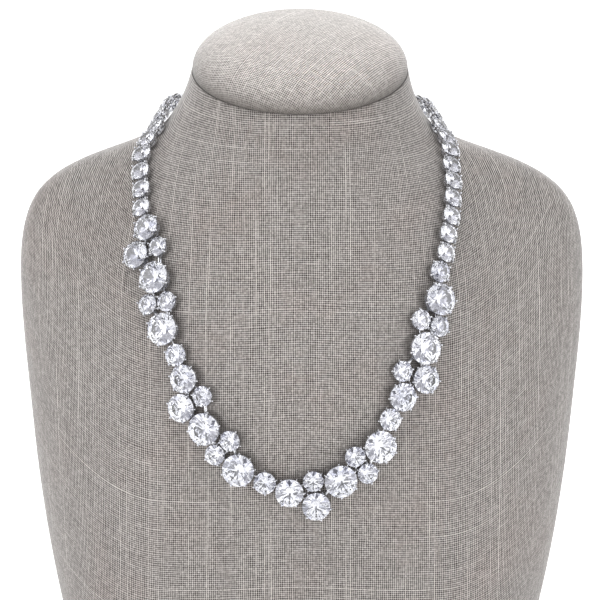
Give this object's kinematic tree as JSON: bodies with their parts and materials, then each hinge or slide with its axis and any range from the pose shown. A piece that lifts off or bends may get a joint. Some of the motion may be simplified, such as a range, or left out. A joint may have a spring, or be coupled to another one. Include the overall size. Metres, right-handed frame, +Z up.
{
  "type": "collar necklace on a neck bust",
  "caption": "Collar necklace of round brilliant stones in open prong settings, hinged in clusters along the front and single file at the sides, on a linen covered neck bust.",
  "frame": {"origin": "centre of the underside of the bust's base board, where the bust rests", "axes": "+Z up along the neck, -Y the way the bust faces, +X towards the wearer's left shoulder"},
  "size_m": [0.176, 0.1024, 0.2175],
  "materials": {
    "linen": "matte slubbed plain weave",
    "board": "matte",
    "stone": "clear, faceted and polished",
    "silver": "polished white metal"
  },
  "bodies": {
    "root": {"bust_base": "board", "bust_form": "linen", "bust_cap": "linen", "stone_01": "stone", "stone_02": "stone", "stone_03": "stone", "stone_04": "stone", "stone_05": "stone", "stone_06": "stone", "stone_07": "stone", "stone_08": "stone", "stone_09": "stone", "stone_10": "stone", "stone_11": "stone", "stone_12": "stone", "stone_13": "stone", "stone_14": "stone", "stone_15": "stone", "stone_16": "stone", "stone_17": "stone", "stone_18": "stone", "stone_19": "stone", "stone_20": "stone", "stone_21": "stone", "stone_22": "stone", "stone_23": "stone", "stone_24": "stone", "stone_25": "stone", "stone_26": "stone", "stone_27": "stone", "stone_28": "stone", "stone_29": "stone", "stone_30": "stone", "stone_31": "stone", "stone_32": "stone", "setting_01": "silver", "setting_02": "silver", "setting_03": "silver", "setting_04": "silver", "setting_05": "silver", "setting_06": "silver", "setting_07": "silver", "setting_08": "silver", "setting_09": "silver", "setting_10": "silver", "setting_11": "silver", "setting_12": "silver", "front_links": "silver", "strand_left_settings": "silver", "strand_left_stones": "stone", "strand_left_links": "silver", "strand_right_settings": "silver", "strand_right_stones": "stone", "strand_right_links": "silver", "clasp": "silver"}
  },
  "joints": []
}
